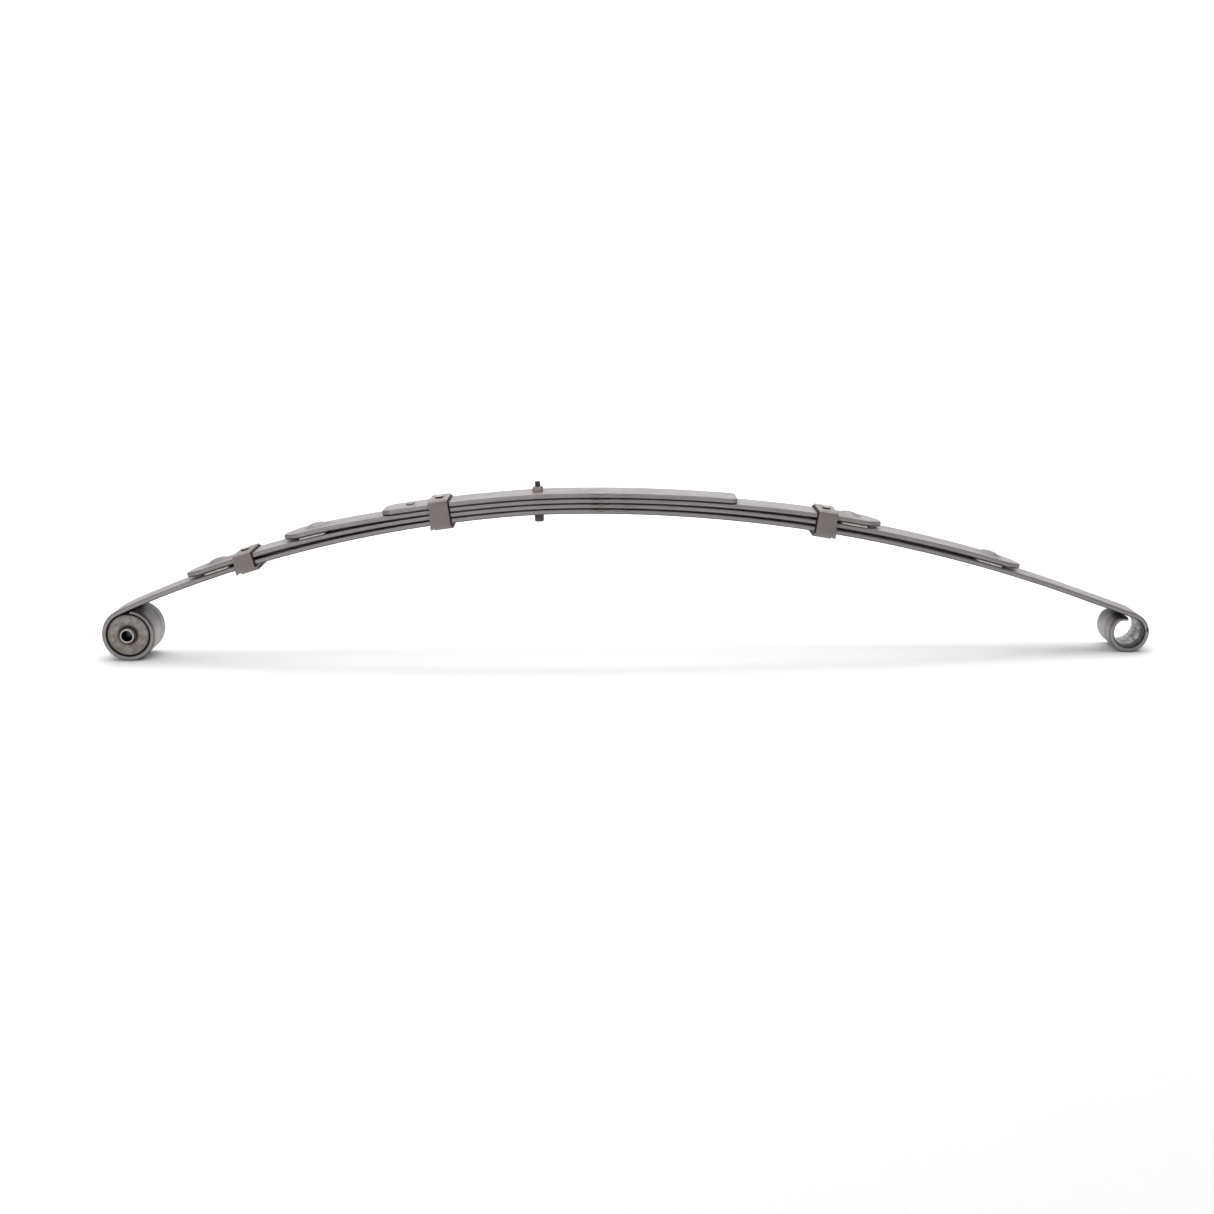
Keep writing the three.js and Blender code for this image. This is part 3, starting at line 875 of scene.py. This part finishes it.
def bush_material(name):
    """Grey-brown rubber, with painted shade darkening the dish round the sleeve."""
    n = Nodes(name)
    bloom = n.noise(0.13, 0.13, 0.3, 5.0, 0.65)
    pits = n.noise(1.3, 1.3, 1.3, 3.0, 0.6)
    warm = n.noise(0.045, 0.045, 0.1, 3.0, 0.6)
    radius = n.radius()
    dusty = n.mix((0.17, 0.15, 0.135), (0.32, 0.3, 0.287), n.spread(bloom, 0.3, 0.7, 0.0, 1.0))
    browned = n.mix(dusty, (0.17, 0.12, 0.09), n.spread(warm, 0.46, 0.64, 0.0, 0.7))
    # painted shade in the dished recess round the sleeve
    dish = n.spread(radius, 11.0, 16.0, 0.92, 0.0, "Value")
    dished = n.mix(browned, (0.045, 0.028, 0.02), dish)
    lip = n.spread(radius, 24.9, 25.5, 0.0, 0.25, "Value")
    n.use_color(n.mix(dished, (0.12, 0.1, 0.088), lip))
    n.shader.inputs["Roughness"].default_value = 0.62
    n.link(n.bump(pits, 0.3, 0.0004), "Normal", n.shader, "Normal")
    return n.material


def bored_steel(name, pale, dark, stain, bore):
    """Smooth turned steel, painted near black inside its bore as shade."""
    n = brushed_steel(name, pale, dark, stain, 0.8, 0.3)
    # painted shade inside the bore
    inside = n.spread(n.radius(), bore + 0.2, bore + 0.7, 1.0, 0.0, "Value")
    n.use_color(n.mix(n.color, (0.012, 0.011, 0.01), inside))
    return n.material


leaf_steel = marked_leaf_steel()
clamp_steel = brushed_steel(
    "clamp_steel", (0.25, 0.222, 0.215), (0.18, 0.155, 0.15), (0.11, 0.082, 0.075), 0.6, 0.46, 1.2
).material
fixing_steel = brushed_steel(
    "fixing_steel", (0.5, 0.44, 0.42), (0.34, 0.29, 0.275), (0.1, 0.075, 0.065), 0.6, 0.36
).material
bolt_steel = brushed_steel(
    "bolt_steel", (0.12, 0.1, 0.096), (0.05, 0.04, 0.038), (0.02, 0.014, 0.012), 0.6, 0.34
).material
shell_steel = brushed_steel(
    "shell_steel", (0.03, 0.026, 0.024), (0.012, 0.01, 0.009), (0.008, 0.007, 0.006), 0.3, 0.6
).material
sleeve_steel = bored_steel(
    "sleeve_steel", (0.55, 0.54, 0.52), (0.38, 0.37, 0.355), (0.2, 0.18, 0.165), 7.15
)
pad_plastic = dusty_rubber("pad_plastic", (0.66, 0.64, 0.61), (0.5, 0.48, 0.45), 0.6)
liner_rubber = dusty_rubber("liner_rubber", (0.006, 0.0055, 0.0055), (0.0025, 0.0025, 0.0025), 0.8)
bush_rubber_skin = bush_material("bush_rubber")


# ---- the pieces -------------------------------------------------------------------------------
def build_leaves():
    eyes = (
        ("front", FRONT_END, FRONT_EYE_RADIUS, -1, FRONT_SCROLL, 96),
        ("rear", REAR_END, REAR_EYE_RADIUS, 1, REAR_SCROLL, 90),
    )
    for end_name, end, radius, side, scroll, count in eyes:
        piece = main_half(f"main_leaf_{end_name}_half", end, radius, side, scroll, count)
        flex(piece)
        finish_piece(piece, leaf_steel, "leaf_steel", f"{end_name}_eye", f"main_leaf_{end_name}")
    second = lambda d: spear(d, 27, 15)
    third = lambda d: spear(d, 25, 16)
    dimpled = (
        ("second_leaf_front", 1, -480, -1, second, -435, "second_leaf"),
        ("second_leaf_rear", 1, 654, 1, second, 610, "second_leaf"),
        ("third_leaf_front", 2, -339, -1, third, -294, "third_leaf"),
        ("third_leaf_rear", 2, 458, 1, third, 414, "third_leaf"),
    )
    for name, level, tip, side, outline, centre, node in dimpled:
        bump = oval_bump(centre, 37, 25, BUMP_HEIGHT)
        piece = half_leaf(name, level, tip, side, outline, 28, [bump], [(centre - 21, centre + 21)])
        flex(piece)
        finish_piece(piece, leaf_steel, "leaf_steel", node)
    ends = (("fourth_leaf_front", -203, -1, clipped, 13), ("fourth_leaf_rear", 264, 1, softened, 12))
    for name, tip, side, outline, reach in ends:
        piece = half_leaf(name, 3, tip, side, outline, reach)
        flex(piece)
        finish_piece(piece, leaf_steel, "leaf_steel", "fourth_leaf")


def build_pads():
    pads = (
        ("second_leaf_front_pad", 1, -435),
        ("second_leaf_rear_pad", 1, 608),
        ("third_leaf_front_pad", 2, -299),
        ("third_leaf_rear_pad", 2, 421),
    )
    for node, level, s in pads:
        piece = tip_pad(node + "_piece", level, s)
        flex(piece)
        finish_piece(piece, pad_plastic, "pad_plastic", node)
    piece = end_button("fourth_leaf_button_piece")
    flex(piece)
    finish_piece(piece, leaf_steel, "leaf_steel", "fourth_leaf_button")


def build_clamps():
    for node, (s, level) in CLAMPS.items():
        strap = clamp_strap(node + "_strap", s, level)
        flex(strap)
        finish_piece(strap, clamp_steel, "clamp_steel", node)
        lining = clamp_liner(node + "_lining", s, level)
        flex(lining)
        finish_piece(lining, liner_rubber, "liner_rubber", node + "_liner")
        pin = rivet(node + "_pin", s, level)
        flex(pin)
        finish_piece(pin, fixing_steel, "fixing_steel", node + "_rivet")


def build_fixings():
    bolt = centre_bolt("centre_bolt_piece")
    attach(bolt, PACK)
    finish_piece(bolt, bolt_steel, "fixing_steel", "centre_bolt")
    nut = centre_nut("centre_nut_piece")
    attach(nut, PACK)
    finish_piece(nut, fixing_steel, "fixing_steel", "centre_nut")


def build_bush():
    shell = bush_shell("bush_shell_piece")
    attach(shell, ROOT)
    finish_piece(shell, shell_steel, "fixing_steel", "bush_shell")
    rubber = bush_rubber("bush_rubber_piece")
    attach(rubber, ROOT)
    finish_piece(rubber, bush_rubber_skin, "bush_rubber", "bush_rubber")
    sleeve = bush_sleeve("bush_sleeve_piece")
    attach(sleeve, SLEEVE)
    finish_piece(sleeve, sleeve_steel, "sleeve_steel", "bush_sleeve")


build_leaves()
build_pads()
build_clamps()
build_fixings()
build_bush()


# ---- floor, light and camera ------------------------------------------------------------------
# the smooth eyes reach this far below the faceted ones, in metres
FLOOR_DROP = 0.0002


def build_floor():
    """A pale sweep: a floor that curves up behind the spring."""
    profile = [(-6.0, 0.0), (3.0, 0.0)]
    for k in range(1, 11):
        a = math.radians(9 * k)
        profile.append((3.0 + 2.5 * math.sin(a), 2.5 - 2.5 * math.cos(a)))
    profile.append((5.5, 7.0))
    verts = [(x, y, z - FLOOR_DROP) for y, z in profile for x in (-8.0, 8.0)]
    faces = [(2 * k, 2 * k + 1, 2 * k + 3, 2 * k + 2) for k in range(len(profile) - 1)]
    mesh = bpy.data.meshes.new("floor")
    mesh.from_pydata(verts, [], faces)
    mesh.shade_smooth()
    floor = bpy.data.objects.new("floor", mesh)
    bpy.context.collection.objects.link(floor)
    paint = bpy.data.materials.new("floor_paint")
    paint.use_nodes = True
    shader = paint.node_tree.nodes["Principled BSDF"]
    shader.inputs["Base Color"].default_value = (0.9, 0.9, 0.9, 1.0)
    shader.inputs["Roughness"].default_value = 0.9
    mesh.materials.append(paint)


def soft_light(name, place, target, width, height, power):
    data = bpy.data.lights.new(name, "AREA")
    data.shape = "RECTANGLE"
    data.size = width
    data.size_y = height
    data.energy = power
    lamp = bpy.data.objects.new(name, data)
    lamp.location = place
    lamp.rotation_euler = (Vector(target) - Vector(place)).to_track_quat("-Z", "Y").to_euler()
    bpy.context.collection.objects.link(lamp)


def build_lights():
    world = bpy.data.worlds.new("studio")
    world.use_nodes = True
    background = world.node_tree.nodes["Background"]
    background.inputs["Color"].default_value = (1.0, 1.0, 1.0, 1.0)
    background.inputs["Strength"].default_value = 0.22
    bpy.context.scene.world = world
    bpy.context.scene.view_settings.view_transform = "Standard"
    soft_light("overhead", (0.0, 0.4, 3.2), (0, 0.2, 0.1), 6.0, 3.0, 142)
    soft_light("back_wash", (0.0, 2.2, 3.4), (0, 4.6, 0.6), 7.0, 1.5, 200)
    soft_light("front", (-1.2, -3.0, 1.6), (0, 0, 0.1), 3.0, 1.5, 31)


def build_camera():
    data = bpy.data.cameras.new("camera")
    data.lens = 52.63
    data.sensor_width = 36
    camera = bpy.data.objects.new("camera", data)
    pitch, roll = math.radians(11.8), math.radians(-0.5)
    turn = Matrix.Rotation(math.pi / 2 - pitch, 4, "X") @ Matrix.Rotation(roll, 4, "Z")
    camera.matrix_world = Matrix.Translation((-0.0248, -2.358, 0.5543)) @ turn
    bpy.context.collection.objects.link(camera)
    bpy.context.scene.camera = camera


build_floor()
build_lights()
build_camera()
